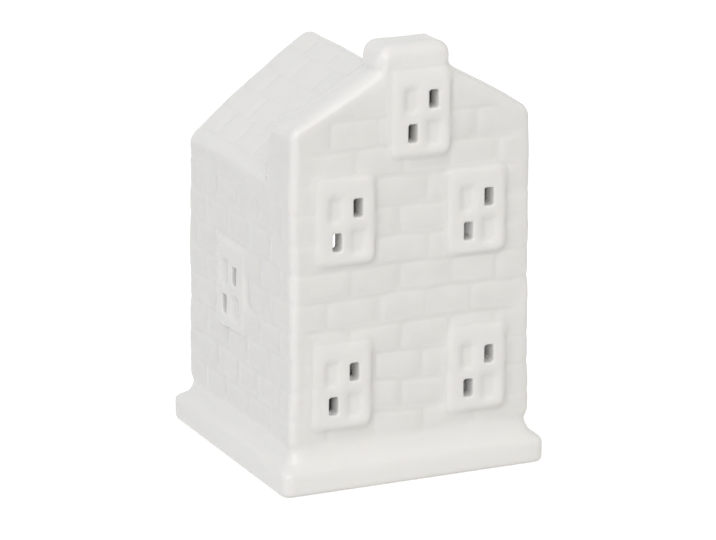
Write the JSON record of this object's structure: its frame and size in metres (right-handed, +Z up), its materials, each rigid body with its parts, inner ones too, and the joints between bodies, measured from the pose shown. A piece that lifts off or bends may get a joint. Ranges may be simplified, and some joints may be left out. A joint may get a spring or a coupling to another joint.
{
  "type": "tealight house",
  "caption": "White glazed porcelain house with a stepped-up gable front, brick relief and pierced windows; a tealight goes in through the arched back opening.",
  "frame": {"origin": "middle of the underside, on the surface that the house stands on", "axes": "+Z up, +X to the right across the front, the front faces -Y and the doorway faces +Y"},
  "size_m": [0.0782, 0.0764, 0.1204],
  "materials": {
    "porcelain": "glossy white glaze over a slip-cast body",
    "cup_aluminium": "bright drawn aluminium",
    "paraffin": "pressed white paraffin wax, slightly translucent",
    "cotton": "waxed braided cotton",
    "tab_steel": "plain stamped steel"
  },
  "bodies": {
    "house": {"house_shell": "porcelain"},
    "tealight": {"tealight_cup": "cup_aluminium"},
    "candle": {"wax": "paraffin", "wick": "cotton", "wick_tab": "tab_steel"}
  },
  "joints": [
    {"name": "tealight_slide", "type": "slide", "parent": "house", "child": "tealight", "axis": [0, 1, 0], "range_m": [0, 0.075]},
    {"name": "candle_lift", "type": "slide", "parent": "tealight", "child": "candle", "axis": [0, 0, 1], "range_m": [0, 0.016]}
  ]
}
